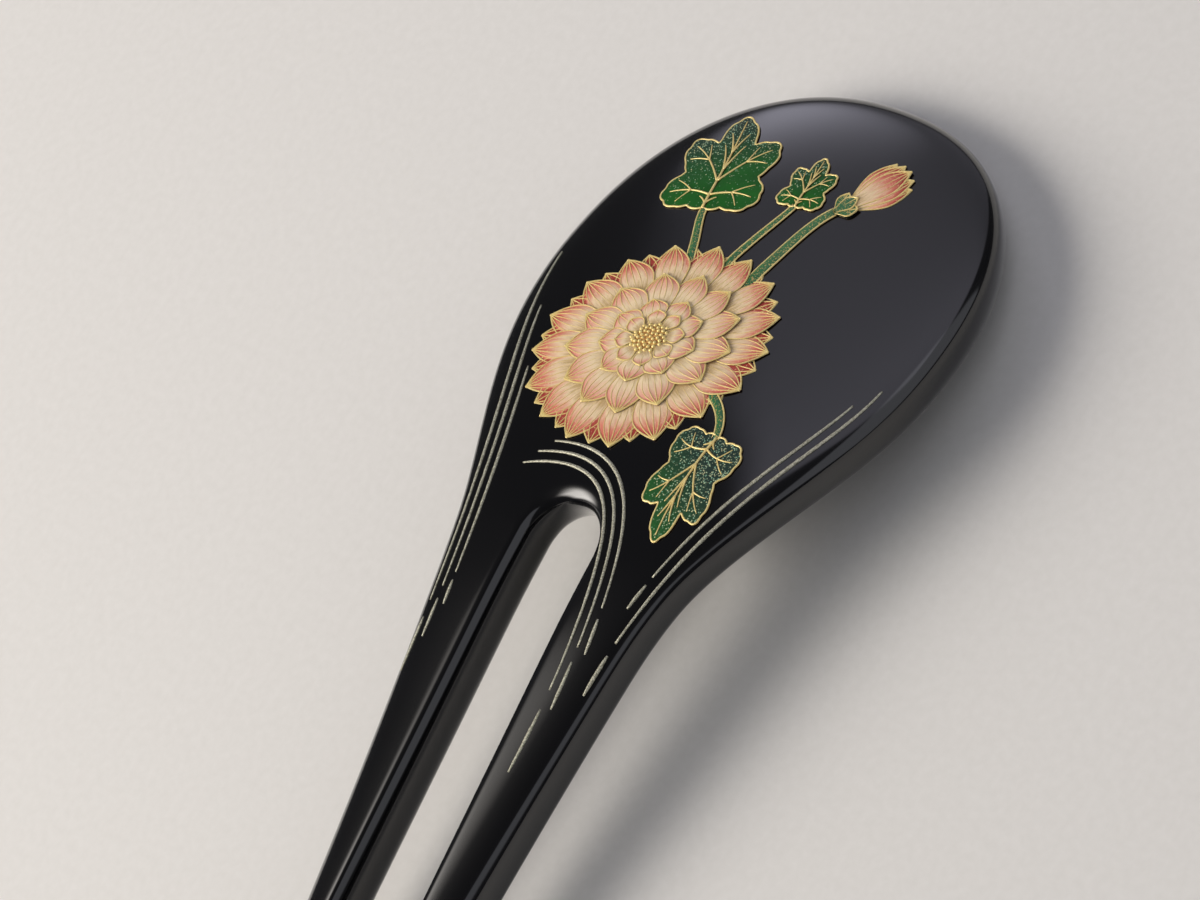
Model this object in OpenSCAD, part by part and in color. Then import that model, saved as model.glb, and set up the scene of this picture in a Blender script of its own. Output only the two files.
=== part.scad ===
// Two-pronged hairpin, a kanzashi: one carved piece of wood under black gloss lacquer.
// Its domed head bends back from the prongs, and a raised chrysanthemum on flowing
// water decorates the face. Millimetres, +Z up. The pin lies on its back, face up,
// and rests on the tips of its prongs and the end of its head.
// The shape is worked out flat first: x across the pin, s along its middle line from
// the centre of the slot's round end, positive towards the head, and h up from the face.

/* [Head] */
// Greatest width of the head
head_w = 52.7; // [46:0.1:58]
// From the centre of the slot's round end to the end of the head
head_len = 59.6; // [54:0.1:66]
// From the centre of the slot's round end to the widest place of the head
head_wide_at = 32.3; // [28:0.1:36]
// Roundness of the head's outline, 2 is an ellipse and more is squarer
head_round = 2.23; // [2:0.01:3]

/* [Neck and prongs] */
// Width that the neck's taper has at the slot's round end
neck_w = 30.1; // [28:0.1:34]
// Where the neck starts to widen into the head
flare_from = -4.1; // [-8:0.1:2]
// From the centre of the slot's round end to the tips of the prongs
prong_len = 90; // [70:1:110]
// Width across both prongs at their tips, before the tips are rounded
tips_w = 15.6; // [15:0.1:20]
// How early the prongs taper, 1 is an even taper
taper_power = 1.8; // [1:0.05:3]
// Length over which each tip rounds off
tip_len = 7; // [4:0.5:12]
// Width of the slot at its round end
slot_w = 9.2; // [7:0.1:11]
// How much wider the slot is at the tips
slot_spread = 0.7; // [0:0.1:2]

/* [Thickness] */
// Rise of the face above the edge line in the middle of the head
head_face = 2.6; // [1.5:0.1:4]
// Depth of the back below the edge line in the middle of the head
head_back = 4.6; // [2:0.1:5.5]
// Rise of the face above the edge line at the neck
neck_face = 2; // [1.5:0.1:4]
// Depth of the back below the edge line at the neck
neck_back = 3.9; // [2:0.1:5]
// Rise and depth of the prongs where they leave the neck
prong_half = 3.1; // [2:0.1:4]
// Rise and depth of the prongs near their tips
tip_half = 1.9; // [1.5:0.1:3]

/* [Bend] */
// How far the head bends back from the prongs, in degrees
bend = 21; // [10:0.5:26]
// Where the bend starts
bend_from = -8.3; // [-14:0.1:-2]
// Where the bend ends
bend_to = 22.4; // [14:0.1:34]

/* [Bloom] */
// Place of the bloom's middle across the pin
bloom_x = -4.5; // [-6:0.1:-2]
// Place of the bloom's middle along the pin
bloom_s = 23; // [22:0.1:25]
// Half the length of the bloom
bloom_r = 14.6; // [12:0.1:15]
// Width of the bloom as a share of its length, as it is seen half from the side
bloom_tilt = 0.86; // [0.8:0.01:1]
// Turn of the bloom's long axis from the x axis, in degrees
bloom_turn = 24; // [0:1:40]

/* [Relief] */
// Height of the raised design's first layer
layer_h = 0.34; // [0.25:0.01:0.5]
// Clearance under each raised piece
seat_gap = 0.05; // [0.03:0.01:0.1]
// Width of a line of flowing water
line_w = 0.5; // [0.35:0.05:0.7]

/* [Hidden] */

// Colours of the lacquer, petals, leaves and gold
lacquer = "#111114";
petal_rose = "#D98F7A";
petal_cream = "#EBD3AE";
leaf_green = "#256B33";
leaf_teal = "#24493F";
gold = "#D9B060";
pale_gold = "#C8C3AF";

// Fullness of the face and of the flatter back, across the pin
face_full = 3.2;
back_full = 6;
// Bullnose edge of the slot: its width, and its fullness
slot_edge = 1.4;
slot_full = 2.4;
// Points across the face of each ring of the body
across = 14;

// Distance along the pin over which the thickness changes, for the head and the prongs
head_change = [5, 45];
neck_change = [-60, 0];
tip_change = [-prong_len, -prong_len / 2];

// The flat outline

function ease(t) = let (c = max(0, min(1, t))) c * c * (3 - 2 * c);
function share(s, span) = (s - span[0]) / (span[1] - span[0]);

// Half width across both prongs and the neck, before the head's flare
function taper(s) = tips_w / 2
    + (neck_w - tips_w) / 2 * pow(max(0, 1 + s / prong_len), taper_power);

// Half width of the pin, with the flare, before the head's round end
function side(s) = let (t = taper(s))
    t + (head_w / 2 - t) * ease(share(s, [flare_from, head_wide_at]));

function slot_half(s) = slot_w / 2 + slot_spread / 2 * max(0, -s) / prong_len;

// How far s is into the head's round end, from 0 to 1
function end_share(s) = max(0, min(1, share(s, [head_wide_at, head_len])));

// 0 in the middle of the pin and 1 on its outline
function outline_share(x, s) = min(1,
    pow(abs(x) / side(s), head_round) + pow(end_share(s), head_round));

// 1 along the prongs, falling to 0 at the very tip
function tip_share(s) = let (t = max(0, min(1, 1 - (s + prong_len) / tip_len)))
    pow(1 - pow(t, head_round), 1 / head_round);

// Heights of the face and back

function prong_rise(s) = tip_half + (prong_half - tip_half) * ease(share(s, tip_change));
function rise(s, neck, head) = let (p = prong_rise(s))
    p + (neck - p) * ease(share(s, neck_change)) + (head - neck) * ease(share(s, head_change));

function slot_distance(x, s) = (s > 0 ? norm([x, s]) : abs(x)) - slot_half(s);
function slot_bevel(x, s) = let (t = max(0, 1 - max(0, slot_distance(x, s)) / slot_edge))
    pow(1 - pow(min(1, t), slot_full), 1 / slot_full);

function swell(x, s, full) = slot_bevel(x, s)
    * pow(max(0, 1 - pow(outline_share(x, s), full / head_round)), 1 / full);
function face_h(x, s) = rise(s, neck_face, head_face) * swell(x, s, face_full);
function back_h(x, s) = -rise(s, neck_back, head_back) * swell(x, s, back_full);

// The bend, and how the pin rests

bend_radius = (bend_to - bend_from) / (bend * PI / 180);
function slope(s) = bend * max(0, min(1, share(s, [bend_from, bend_to])));
function spine(s) = let (a = slope(s), run = max(0, s - bend_to), straight = min(s, bend_from))
    [straight + bend_radius * sin(a) + run * cos(a), -bend_radius * (1 - cos(a)) - run * sin(a)];
function bent(x, s, h) = let (c = spine(s), a = slope(s))
    [x, c[0] + h * sin(a), c[1] + h * cos(a)];

// Middle lines of a prong's back and of the head's back, which touch the surface
function prong_mid(s) = (slot_half(s) + side(s)) / 2;
prong_sole = [for (s = [-prong_len : 0.25 : -prong_len / 2])
    bent(prong_mid(s), s, back_h(prong_mid(s), s) * tip_share(s))];
head_sole = [for (s = [head_wide_at : 0.25 : head_len]) bent(0, s, back_h(0, s))];

function turned(p, a) = [p[0], p[1] * cos(a) - p[2] * sin(a), p[1] * sin(a) + p[2] * cos(a)];
function lowest(sole, a) = let (z = [for (p = sole) turned(p, a)[2]]) sole[search(min(z), z)[0]];
function settle(a, tries) = tries == 0 ? a
    : let (p = lowest(prong_sole, a), q = lowest(head_sole, a))
      settle(-atan2(q[2] - p[2], q[1] - p[1]), tries - 1);
rest_turn = settle(0, 8);
floor_z = turned(lowest(head_sole, rest_turn), rest_turn)[2];
middle_y = (turned(bent(0, -prong_len, 0), rest_turn)[1]
    + turned(bent(0, head_len, 0), rest_turn)[1]) / 2;

function at_rest(p) = turned(p, rest_turn) - [0, middle_y, floor_z];
function on_face(x, s, h) = at_rest(bent(x, s, face_h(x, s) + h));

// Skin over a row of closed rings that all have the same, even number of points

// Triangles that close a ring by a zigzag between its upper and lower points
function ring_cap(m) = concat(
    [for (j = [2 : m / 2]) [j - 1, j, m - j + 1]],
    [for (j = [1 : m / 2 - 1]) [j, m - j, (m - j + 1) % m]]);

module skin(rings, loop = false) {
    n = len(rings);
    m = len(rings[0]);
    sides = [for (i = [0 : n - (loop ? 1 : 2)]) for (j = [0 : m - 1])
        let (a = i * m, b = (i + 1) % n * m, k = (j + 1) % m)
        each [[a + j, b + j, b + k], [a + j, b + k, a + k]]];
    last = (n - 1) * m;
    ends = loop ? [] : concat(ring_cap(m),
        [for (f = ring_cap(m)) [last + f[2], last + f[1], last + f[0]]]);
    polyhedron([for (ring = rings) each ring], concat(sides, ends));
}

// Body

function lerp(a, b, t) = a + (b - a) * t;

// Shares across a ring, closer together near both edges
across_shares = [for (j = [0 : across]) (1 - cos(180 * j / across)) / 2];

// One ring of the body, from the slot's wall over the face to the outline and back
function body_ring(inner, outer) = let (
    tip = tip_share(inner[1]),
    flat = [for (t = across_shares) lerp(inner, outer, t)],
    mid = (inner + outer) / 2,
    placed = [for (p = flat) lerp(mid, p, tip)])
    [each [for (j = [0 : across])
        at_rest(bent(placed[j][0], placed[j][1], tip * face_h(flat[j][0], flat[j][1])))],
     each [for (j = [across - 1 : -1 : 1])
        at_rest(bent(placed[j][0], placed[j][1], tip * back_h(flat[j][0], flat[j][1])))]];

// Rings of the right prong, close together at its tip. The first stands just inside the
// tip, where the prong still has some thickness
tip_rings = 7;
tip_crowding = 1.8;
tip_inset = 0.04;
shaft_rings = 16;
prong_stations = [
    for (i = [0 : tip_rings - 1])
        tip_inset - prong_len + tip_len * pow(i / tip_rings, tip_crowding),
    for (i = [0 : shaft_rings]) lerp(tip_len - prong_len, 0, i / shaft_rings)];

// Rings that fan round the slot's end, up the flare and round the head's end
flare_rings = 10;
end_rings = 12;
fan_rings = flare_rings + end_rings;
function fan_outer(i) = i <= flare_rings
    ? let (s = head_wide_at * i / flare_rings) [side(s), s]
    : let (a = 90 * (i - flare_rings) / end_rings, power = 2 / head_round)
      [head_w / 2 * pow(cos(a), power),
       lerp(head_wide_at, head_len, pow(sin(a), power))];
function fan_inner(i) = let (a = 90 * i / fan_rings) slot_half(0) * [cos(a), sin(a)];

right_rings = [
    for (s = prong_stations) [[slot_half(s), s], [side(s), s]],
    for (i = [1 : fan_rings]) [fan_inner(i), fan_outer(i)]];
function mirrored(p) = [-p[0], p[1]];
left_rings = [for (i = [len(right_rings) - 2 : -1 : 0])
    [mirrored(right_rings[i][0]), mirrored(right_rings[i][1])]];

module body() {
    color(lacquer)
        skin([for (r = concat(right_rings, left_rings)) body_ring(r[0], r[1])]);
}

// Bloom

function on_bloom(r, a, h) = let (p = [r * cos(a), r * bloom_tilt * sin(a)])
    on_face(bloom_x + p[0] * cos(bloom_turn) - p[1] * sin(bloom_turn),
            bloom_s + p[0] * sin(bloom_turn) + p[1] * cos(bloom_turn), h);

// Steps round each petal, and rings from a row's inner edge to its petals' tips
petal_steps = 4;
petal_reach = [0, 0.4, 0.75, 1];
// Depth of the notches between petals, fall of a petal's sides, and height of its tip,
// each as a share
petal_notch = 0.17;
petal_groove = 0.5;
petal_edge = 0.35;

// A row of petals joined at their sides, over the layers below it
module petal_row(count, inner_r, outer_r, floor_h, top_h) {
    steps = count * petal_steps;
    skin([for (i = [0 : steps - 1])
        let (a = 360 * i / steps,
             off = abs(i % petal_steps - petal_steps / 2) / (petal_steps / 2),
             reach = outer_r * (1 - petal_notch * pow(off, 2)),
             crown = 1 - petal_groove * pow(off, 2),
             radii = [for (t = petal_reach) lerp(inner_r, reach, t)])
        [for (r = radii) on_bloom(r, a, floor_h),
         for (k = [len(radii) - 1 : -1 : 0])
            on_bloom(radii[k], a, lerp(floor_h, top_h,
                (k == len(radii) - 1 ? petal_edge : 1) * crown))]],
        loop = true);
}

// Petals in each row, each row's reach as a share of the bloom's, and its rise over its
// floor as a share of a layer
outer_count = 17;
middle_count = 13;
inner_count = 9;
middle_reach = 0.7;
inner_reach = 0.42;
middle_rise = 0.7;
inner_rise = 0.6;
// Radius of the centre, and the clearance between it and the petals
eye_r = 0.16 * bloom_r;
eye_gap = 0.2;
row_step = layer_h + seat_gap;

module outer_petals() {
    color(petal_rose)
        petal_row(outer_count, eye_r + eye_gap, bloom_r, seat_gap, layer_h);
}

module middle_petals() {
    color(petal_cream) petal_row(middle_count, eye_r + eye_gap, bloom_r * middle_reach,
        row_step, row_step + middle_rise * layer_h);
}

module inner_petals() {
    color(petal_cream) petal_row(inner_count, eye_r + eye_gap, bloom_r * inner_reach,
        2 * row_step, 2 * row_step + inner_rise * layer_h);
}

// Rings of the domed centre, from under its middle up to its small flat top: each its
// share of the radius and of the height
EYE_RINGS = [[0.15, 0], [1, 0], [1, 0.7], [0.75, 0.92], [0.15, 1]];
eye_sides = 16;

module bloom_centre() {
    color(gold)
        skin([for (ring = EYE_RINGS) [for (i = [0 : eye_sides - 1])
            on_bloom(eye_r * ring[0], -360 * i / eye_sides,
                lerp(seat_gap, 2 * row_step + layer_h, ring[1]))]]);
}

// Stems, bud and lines of water: strips along a middle line, with a domed top

// Fall of a strip's top towards its sides, as a share of its height
strip_fall = 0.6;

// A strip's ring at one place: middle point, half width, direction along, and top
function strip_ring(mid, half_w, dir, top_h, cells) = let (
    aside = [dir[1], -dir[0]] / norm(dir) * half_w,
    row = [for (i = [0 : cells]) let (t = 2 * i / cells - 1) [mid + aside * t, t]])
    [for (p = row)
        on_face(p[0][0], p[0][1], lerp(top_h, seat_gap, strip_fall * p[1] * p[1])),
     for (i = [cells : -1 : 0]) on_face(row[i][0][0], row[i][0][1], seat_gap)];

function bezier(p, t) = pow(1 - t, 3) * p[0] + 3 * pow(1 - t, 2) * t * p[1]
    + 3 * (1 - t) * t * t * p[2] + pow(t, 3) * p[3];
function bezier_dir(p, t) = pow(1 - t, 2) * (p[1] - p[0])
    + 2 * (1 - t) * t * (p[2] - p[1]) + t * t * (p[3] - p[2]);

module strip(curve, widths, top_h, cells) {
    n = len(widths) - 1;
    skin([for (i = [0 : n])
        strip_ring(bezier(curve, i / n), widths[i] / 2, bezier_dir(curve, i / n), top_h, cells)]);
}

// Leaves: lobed discs, domed a little, round a middle point on their midrib

// Reach of a leaf's edge at angles from its tip, as a share: lobes and the bays between
LEAF_EDGE = [[0, 1], [27, 0.64], [50, 0.9], [80, 0.58], [108, 0.8], [146, 0.46], [180, 0.4]];
lobe_full = 0.6;

function leaf_reach(a) = let (
    c = abs(a),
    i = max([for (k = [0 : len(LEAF_EDGE) - 2]) if (LEAF_EDGE[k][0] <= c) k]),
    from = LEAF_EDGE[i],
    to = LEAF_EDGE[i + 1],
    t = (c - from[0]) / (to[0] - from[0]))
    lerp(min(from[1], to[1]), max(from[1], to[1]),
        pow(ease(from[1] > to[1] ? 1 - t : t), lobe_full));

// Angles at which a leaf's edge has points: each lobe and bay, and some between
edge_steps = 3;
half_edge = [for (i = [0 : len(LEAF_EDGE) - 2]) for (k = [0 : edge_steps - 1])
    lerp(LEAF_EDGE[i][0], LEAF_EDGE[i + 1][0], k / edge_steps)];
leaf_angles = concat(half_edge, [180], [for (k = [len(half_edge) - 1 : -1 : 1]) -half_edge[k]]);

// Rings of a leaf, each its share of the reach and of the height, from under its middle
// to its edge and back over the top
LEAF_RINGS = [[0.12, 0], [0.42, 0], [0.74, 0], [1, 0], [1, 0.4], [0.74, 0.86], [0.42, 1], [0.12, 1]];

// A leaf: its middle point, the direction of its tip in degrees, its reach, its width as
// a share, and how far its midrib bows to the left at the tip
module leaf(mid, turn, reach, wide, bow) {
    skin([for (ring = LEAF_RINGS) [for (k = [len(leaf_angles) - 1 : -1 : 0])
        let (r = reach * ring[0] * leaf_reach(leaf_angles[k]),
             along = r * cos(leaf_angles[k]),
             aside = r * wide * sin(leaf_angles[k]) + bow * pow(along / reach, 2))
        on_face(mid[0] + along * cos(turn) - aside * sin(turn),
                mid[1] + along * sin(turn) + aside * cos(turn),
                lerp(seat_gap, layer_h, ring[1]))]]);
}

module leaf_upper() {
    color(leaf_green) leaf([-12.2, 42.8], 105, 9.2, 0.88, 0.9);
}

module leaf_lower() {
    color(leaf_teal) leaf([10.8, 13], -91, 8.6, 0.66, 0.7);
}

module leaf_small() {
    color(leaf_green) leaf([-1.2, 45], 97, 4.7, 0.82, 0.4);
}

// Stem from the bloom up to the bud, which nods to the right
stem_w = 1.5;
stem_narrows = 0.2;
stem_curve = [[1.6, 34.5], [2, 38], [2, 41.6], [3.9, 44.2]];
bud_curve = [[5.1, 45.6], [6.6, 47.3], [8, 49], [8.6, 52]];

// Stalks from between the petals to the feet of the upper, small and lower leaf
stalk_w = 1.1;
stalk_narrows = 0.23;
stalk_h = 0.8 * layer_h;
STALKS = [[[-8.1, 34.3], [-8.9, 36], [-10.6, 37.4], [-11.1, 38.7]],
    [[-3.2, 35.2], [-2.9, 38], [-1.6, 40.4], [-1.05, 42.8]],
    [[8, 19.8], [9.2, 19.2], [10.4, 18.2], [10.8, 16.8]]];

// Widths of a stem at its rings, from its foot to its end
function stem_widths(w, narrows, rings) = [for (i = [0 : rings]) w * (1 - narrows * i / rings)];

module stems() {
    color(leaf_green) {
        strip(stem_curve, stem_widths(stem_w, stem_narrows, 8), layer_h, 2);
        for (curve = STALKS) strip(curve, stem_widths(stalk_w, stalk_narrows, 5), stalk_h, 2);
    }
}

// Small cup between the stem and the petals of the bud: its widths, and how far it keeps
// from both
cup_widths = [1.2, 2.4, 3.2, 2.9];
cup_inset = [0.12, 0.14];

module bud_cup() {
    foot = stem_curve[3];
    top = bud_curve[0];
    color(leaf_green)
        strip([foot + cup_inset, lerp(foot, top, 0.4), lerp(foot, top, 0.6), top - cup_inset],
            cup_widths, layer_h, 2);
}

// Widths of the bud at its foot, added at its middle and lost at its tip, and its height
bud_foot = 3;
bud_swell = 4;
bud_close = 2.2;
bud_h = 1.3 * layer_h;
bud_rings = 9;

module bud() {
    color(petal_rose)
        strip(bud_curve, [for (i = [0 : bud_rings]) let (t = i / bud_rings)
            bud_foot + bud_swell * sin(180 * pow(t, 0.9)) - bud_close * pow(t, 3)],
            bud_h, 4);
}

// Flowing water: families of lines, each line beside the one before it

// Each family: guide points, number of lines, spacing, and how much of its length each
// next line leaves out at its start and at its end
FAMILIES = [
    [[[-24.4, 29], [-22.6, 17], [-12.5, 10], [-11.8, -18]], 3, -1.15, 0.21, 0.05],
    [[[-9.5, 6.2], [-2, 9.6], [10, 11.5], [8.2, -22]], 3, -1.15, 0.06, 0.08],
    [[[23.8, 28], [23, 18], [14.2, 9], [12.2, -12]], 2, 1.2, 0.1, 0.16]];

// Each line breaks off before its end, and a short dash follows the break
dash_from = 0.9;
dash_gap = 0.025;
// Width of a line's ends as a share of its full width, and height of a line
thin_end = 0.35;
line_h = 0.7 * layer_h;
line_rings = 14;
dash_rings = 3;

function beside(curve, t, d) = let (v = bezier_dir(curve, t))
    bezier(curve, t) + [v[1], -v[0]] / norm(v) * d;

module water_line(curve, d, from, to, rings) {
    skin([for (i = [0 : rings]) let (t = lerp(from, to, i / rings),
        w = line_w * lerp(thin_end, 1, sqrt(sin(180 * lerp(0.03, 0.97, i / rings)))))
        strip_ring(beside(curve, t, d), w / 2, bezier_dir(curve, t), line_h, 2)]);
}

module stream_lines() {
    color(pale_gold)
        for (f = FAMILIES) for (k = [0 : f[1] - 1]) {
            start = k * f[3];
            end = 1 - k * f[4];
            water_line(f[0], k * f[2], start, lerp(start, end, dash_from), line_rings);
            water_line(f[0], k * f[2], lerp(start, end, dash_from + dash_gap), end, dash_rings);
        }
}

body();
outer_petals();
middle_petals();
inner_petals();
bloom_centre();
stems();
bud_cup();
bud();
leaf_upper();
leaf_lower();
leaf_small();
stream_lines();
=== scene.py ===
# A two-pronged kanzashi: carved wood under black gloss lacquer, with a raised design of a
# chrysanthemum on flowing water. It lies on its back, face up, on a plain pale floor.
import math
import random
from collections import namedtuple

import bmesh
import bpy
import numpy as np
from mathutils import Euler, Matrix, Vector


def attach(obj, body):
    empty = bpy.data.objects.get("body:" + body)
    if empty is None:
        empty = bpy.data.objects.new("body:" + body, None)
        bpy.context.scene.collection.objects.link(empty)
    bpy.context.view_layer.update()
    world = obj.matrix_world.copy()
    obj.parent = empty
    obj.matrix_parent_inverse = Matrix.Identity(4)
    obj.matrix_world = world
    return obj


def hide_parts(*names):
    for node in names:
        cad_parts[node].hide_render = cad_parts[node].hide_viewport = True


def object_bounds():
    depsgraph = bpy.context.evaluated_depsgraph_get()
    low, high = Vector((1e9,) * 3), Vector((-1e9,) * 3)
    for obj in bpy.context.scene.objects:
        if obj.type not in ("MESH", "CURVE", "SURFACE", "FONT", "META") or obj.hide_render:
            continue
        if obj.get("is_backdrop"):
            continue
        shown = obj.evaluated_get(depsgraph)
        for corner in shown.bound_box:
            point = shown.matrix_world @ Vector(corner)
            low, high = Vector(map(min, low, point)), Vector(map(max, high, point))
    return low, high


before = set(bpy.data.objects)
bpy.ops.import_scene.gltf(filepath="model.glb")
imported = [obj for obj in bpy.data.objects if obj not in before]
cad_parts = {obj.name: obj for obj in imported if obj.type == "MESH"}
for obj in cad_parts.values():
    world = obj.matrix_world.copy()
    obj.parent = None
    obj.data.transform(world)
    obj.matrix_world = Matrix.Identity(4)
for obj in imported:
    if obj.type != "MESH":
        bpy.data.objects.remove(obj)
cad_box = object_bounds()


# Camera
# A long lens half a metre off, above the pin and on its right, rolled on its side so that
# the head is at the upper right and the prongs run out of the frame at the bottom.
MM = 0.001
CAMERA_AIM = Vector((-1.08, 25.9, 15.68)) * MM
CAMERA_AZIMUTH = 79.19
CAMERA_ELEVATION = 46.14
CAMERA_ROLL = 51.1
CAMERA_DISTANCE = 481.25 * MM
CAMERA_LENS = 143.82

bpy.ops.object.camera_add()
camera = bpy.context.object
camera.name = "camera"
view = Euler((math.radians(90 - CAMERA_ELEVATION), 0, math.radians(CAMERA_AZIMUTH))).to_matrix()
view = view @ Matrix.Rotation(math.radians(-CAMERA_ROLL), 3, "Z")
camera.matrix_world = view.to_4x4()
camera.location = CAMERA_AIM + view @ Vector((0, 0, CAMERA_DISTANCE))
camera.data.lens = CAMERA_LENS
camera.data.sensor_width = 36
camera.data.clip_start = 0.01
bpy.context.scene.camera = camera


# Floor
# A sheet of plain card, pale and very slightly warm, which lies flat under the pin and fills
# the frame. It takes the soft shadow and lights the lacquer from below.
FLOOR_W = 3


def linear(code):
    """The linear RGBA of an sRGB hex colour such as "E8E6E1"."""
    values = [int(code[i:i + 2], 16) / 255 for i in (0, 2, 4)]
    return [v / 12.92 if v < 0.04045 else ((v + 0.055) / 1.055) ** 2.4 for v in values] + [1.0]


def add(tree, node, **settings):
    """Adds a node of a kind, or takes a node. Each setting is a property of it, or the value
    or the source of an input that has this name or identifier."""
    if isinstance(node, str):
        node = tree.nodes.new("ShaderNode" + node)
    inputs = {socket.name.replace(" ", "_"): socket for socket in node.inputs}
    inputs |= {socket.identifier.replace(" ", "_"): socket for socket in node.inputs}
    for key, value in settings.items():
        if isinstance(value, bpy.types.Node):
            value = next(socket for socket in value.outputs if socket.enabled)
        if isinstance(value, bpy.types.NodeSocket):
            tree.links.new(value, inputs[key])
        elif key in inputs:
            inputs[key].default_value = value
        else:
            setattr(node, key, value)
    return node


def new_finish(name, **settings):
    """A material with its Principled shader set, and Object coordinates in millimetres."""
    material = bpy.data.materials.new(name)
    material.use_nodes = True
    tree = material.node_tree
    shader = add(tree, tree.nodes["Principled BSDF"], **settings)
    place = add(tree, "TexCoord").outputs["Object"]
    return material, tree, shader, add(tree, "VectorMath", operation="SCALE", Vector=place,
                                       Scale=1 / MM)


# Matt card: hardly any gloss, and a fleck about a millimetre across that is only just seen
card, tree, shader, mm = new_finish("matt_card", Roughness=0.8)
fleck = add(tree, "TexNoise", Vector=mm, Scale=0.9, Detail=5.0)
add(tree, shader,
    Base_Color=add(tree, "Mix", data_type="RGBA", Factor_Float=fleck,
                   A_Color=linear("D6D4CF"), B_Color=linear("E0DEDA")),
    Normal=add(tree, "Bump", Height=fleck, Distance=0.03 * MM, Strength=0.5))

bpy.ops.mesh.primitive_plane_add(size=FLOOR_W)
floor = bpy.context.object
floor.name = "floor"
floor.data.materials.append(card)
floor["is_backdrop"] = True


# Lights
# A wide soft box beyond the head, which its lacquer mirrors as a grey sheen up to the rim,
# a key that slants across the relief, a broad fill, and a dim room for the rest.
def soft_box(name, place, target, size, watts, colour, fade):
    """An oblong area light at a place, facing a target, that fades out over a share of its
    sides. Returns its nodes, the place on it from 0 to 1 along each side, and the fading."""
    bpy.ops.object.light_add(type="AREA", location=place)
    lamp = bpy.context.object
    lamp.name = name
    lamp.rotation_euler = (Vector(target) - Vector(place)).to_track_quat("-Z", "Y").to_euler()
    lamp.data.shape = "RECTANGLE"
    lamp.data.size, lamp.data.size_y = size
    lamp.data.energy = watts
    lamp.data.color = linear(colour)[:3]
    lamp.data.use_nodes = True
    tree = lamp.data.node_tree
    spot = add(tree, "NewGeometry").outputs["Parametric"]
    sides = add(tree, "SeparateXYZ", Vector=spot)
    inward = [add(tree, "Math", operation="PINGPONG", Value=sides.outputs[side], Value_001=0.5)
              for side in ("X", "Y")]
    across, up = [add(tree, "MapRange", interpolation_type="SMOOTHSTEP", Value=way,
                      From_Max=fade) for way in inward]
    faded = add(tree, "Math", operation="MULTIPLY", Value=across, Value_001=up)
    add(tree, tree.nodes["Emission"], Strength=faded)
    return tree, spot, faded


soft_box("key_box", place=(-0.54, -0.53, 0.575), target=(0, 0.02, 0.01), size=(1.0, 1.0),
         watts=27.5, colour="FFF9F2", fade=0.35)
soft_box("fill_box", place=(0.75, 0.35, 0.85), target=(0, 0, 0), size=(1.8, 1.8),
         watts=7.0, colour="F4F6FF", fade=0.08)

# The cloth of the sheen box glows most round its lamp, low at one side, and more at the top
# than at the bottom. The lamp's place is in metres from the box's corner, with the radius of
# its full glow and of its end, and the two heights are shares of the box's height
SHEEN_SIZE = (0.58, 0.86)
LAMP_PLACE, LAMP_FULL, LAMP_END, LAMP_GLOW = (0.52, 0.215), 0.02, 0.16, 1.5
LOW_END, TOP_START, LOW_GLOW, TOP_GLOW = 0.35, 0.7, 0.27, 0.65
tree, spot, faded = soft_box("sheen_box", place=(-0.206, 0.45, 0.38), target=(0.094, 0.07, 0.1),
                             size=SHEEN_SIZE, watts=2.2, colour="DCDAEA", fade=0.12)
on_cloth = add(tree, "VectorMath", operation="MULTIPLY", Vector=spot,
               Vector_001=(*SHEEN_SIZE, 0))
away = add(tree, "VectorMath", operation="DISTANCE", Vector=on_cloth,
           Vector_001=(*LAMP_PLACE, 0))
round_lamp = add(tree, "MapRange", interpolation_type="SMOOTHSTEP",
                 Value=away.outputs["Value"], From_Min=LAMP_END, From_Max=LAMP_FULL,
                 To_Max=LAMP_GLOW)
sides = add(tree, "SeparateXYZ", Vector=spot)
upward = add(tree, "MapRange", interpolation_type="SMOOTHSTEP", Value=sides.outputs["Y"],
             From_Min=LOW_END, From_Max=TOP_START, To_Min=LOW_GLOW, To_Max=TOP_GLOW)
glow = add(tree, "Math", operation="ADD", Value=round_lamp, Value_001=upward)
add(tree, tree.nodes["Emission"],
    Strength=add(tree, "Math", operation="MULTIPLY", Value=glow, Value_001=faded))

world = bpy.data.worlds.new("room")
world.use_nodes = True
add(world.node_tree, world.node_tree.nodes["Background"], Color=linear("C2C2C6"), Strength=0.1)
bpy.context.scene.world = world
bpy.context.scene.view_settings.view_transform = "Standard"


# Body
# One piece of close-grained wood, carved with a domed head, a slot and two prongs, then
# lacquered black in many thin coats, each rubbed down with charcoal, and polished until
# it mirrors. The copy of the carved solid is only rounded between its rings.
def pick(piece):
    """Selects one object alone and makes it active."""
    bpy.ops.object.select_all(action="DESELECT")
    piece.select_set(True)
    bpy.context.view_layer.objects.active = piece


def in_place(piece, finish, slot, *nodes):
    """Gives a finished piece its material, and says what it rides on and stands for."""
    piece.data.materials.clear()
    piece.data.materials.append(finish)
    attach(piece, "root")
    if nodes:
        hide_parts(*nodes)


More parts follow.
